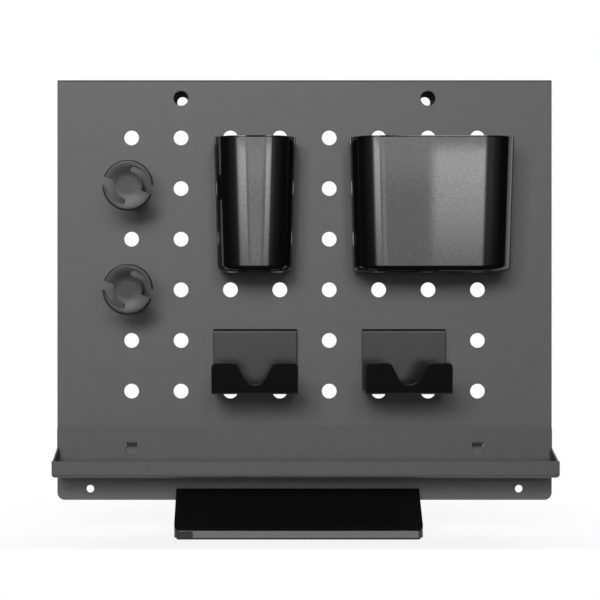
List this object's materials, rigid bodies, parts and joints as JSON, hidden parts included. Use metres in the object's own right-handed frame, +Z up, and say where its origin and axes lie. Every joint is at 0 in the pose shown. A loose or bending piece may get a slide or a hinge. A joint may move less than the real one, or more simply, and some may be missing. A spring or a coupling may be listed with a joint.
{
  "type": "pegboard desk stand",
  "caption": "Punched steel pegboard that stands on a desk in a wedge foot, with a hook-on shelf, pencil cups, notched hooks and cable winders.",
  "frame": {"origin": "on the desk, under the panel's front face, at the middle of the panel's width", "axes": "+X along the panel to the right seen from the front, +Y from front to back, +Z up"},
  "size_m": [0.4, 0.1405, 0.3665],
  "materials": {
    "panel_steel": "black satin powder coat",
    "shelf_steel": "black satin powder coat",
    "hook_steel": "black satin powder coat",
    "foot_plastic": "fine satin moulding",
    "cup_plastic": "fine satin grain",
    "winder_plastic": "satin moulding",
    "black_steel": "black oxide",
    "zinc_steel": "bright zinc plating",
    "brass": "turned brass",
    "mat_rubber": "dull rubber"
  },
  "bodies": {
    "stand": {"panel": "panel_steel", "foot_shell": "foot_plastic", "foot_base_plate": "zinc_steel", "foot_base_screws": "zinc_steel", "foot_mat": "mat_rubber", "foot_clamp_screws": "zinc_steel", "foot_clamp_inserts": "brass"},
    "shelf": {"shelf": "shelf_steel"},
    "narrow_cup": {"narrow_cup": "cup_plastic", "narrow_cup_pegs": "black_steel", "narrow_cup_screws": "zinc_steel"},
    "wide_cup": {"wide_cup": "cup_plastic", "wide_cup_pegs": "black_steel", "wide_cup_screws": "zinc_steel"},
    "left_hook": {"left_hook": "hook_steel", "left_hook_pegs": "black_steel"},
    "right_hook": {"right_hook": "hook_steel", "right_hook_pegs": "black_steel"},
    "upper_winder": {"upper_winder": "winder_plastic", "upper_winder_washer": "zinc_steel", "upper_winder_screw": "zinc_steel"},
    "lower_winder": {"lower_winder": "winder_plastic", "lower_winder_washer": "zinc_steel", "lower_winder_screw": "zinc_steel"}
  },
  "joints": [
    {"name": "shelf_lift", "type": "slide", "parent": "stand", "child": "shelf", "axis": [0, 0, 1], "range_m": [0, 0.0038]},
    {"name": "narrow_cup_lift", "type": "slide", "parent": "stand", "child": "narrow_cup", "axis": [0, 0, 1], "range_m": [0, 0.0029]},
    {"name": "wide_cup_lift", "type": "slide", "parent": "stand", "child": "wide_cup", "axis": [0, 0, 1], "range_m": [0, 0.0029]},
    {"name": "left_hook_lift", "type": "slide", "parent": "stand", "child": "left_hook", "axis": [0, 0, 1], "range_m": [0, 0.0029]},
    {"name": "right_hook_lift", "type": "slide", "parent": "stand", "child": "right_hook", "axis": [0, 0, 1], "range_m": [0, 0.0029]},
    {"name": "upper_winder_turn", "type": "hinge", "parent": "stand", "child": "upper_winder", "pos_m": [-0.14, 0, 0.2785], "axis": [0, -1, 0], "continuous": true},
    {"name": "lower_winder_turn", "type": "hinge", "parent": "stand", "child": "lower_winder", "pos_m": [-0.14, 0, 0.1965], "axis": [0, -1, 0], "continuous": true}
  ]
}
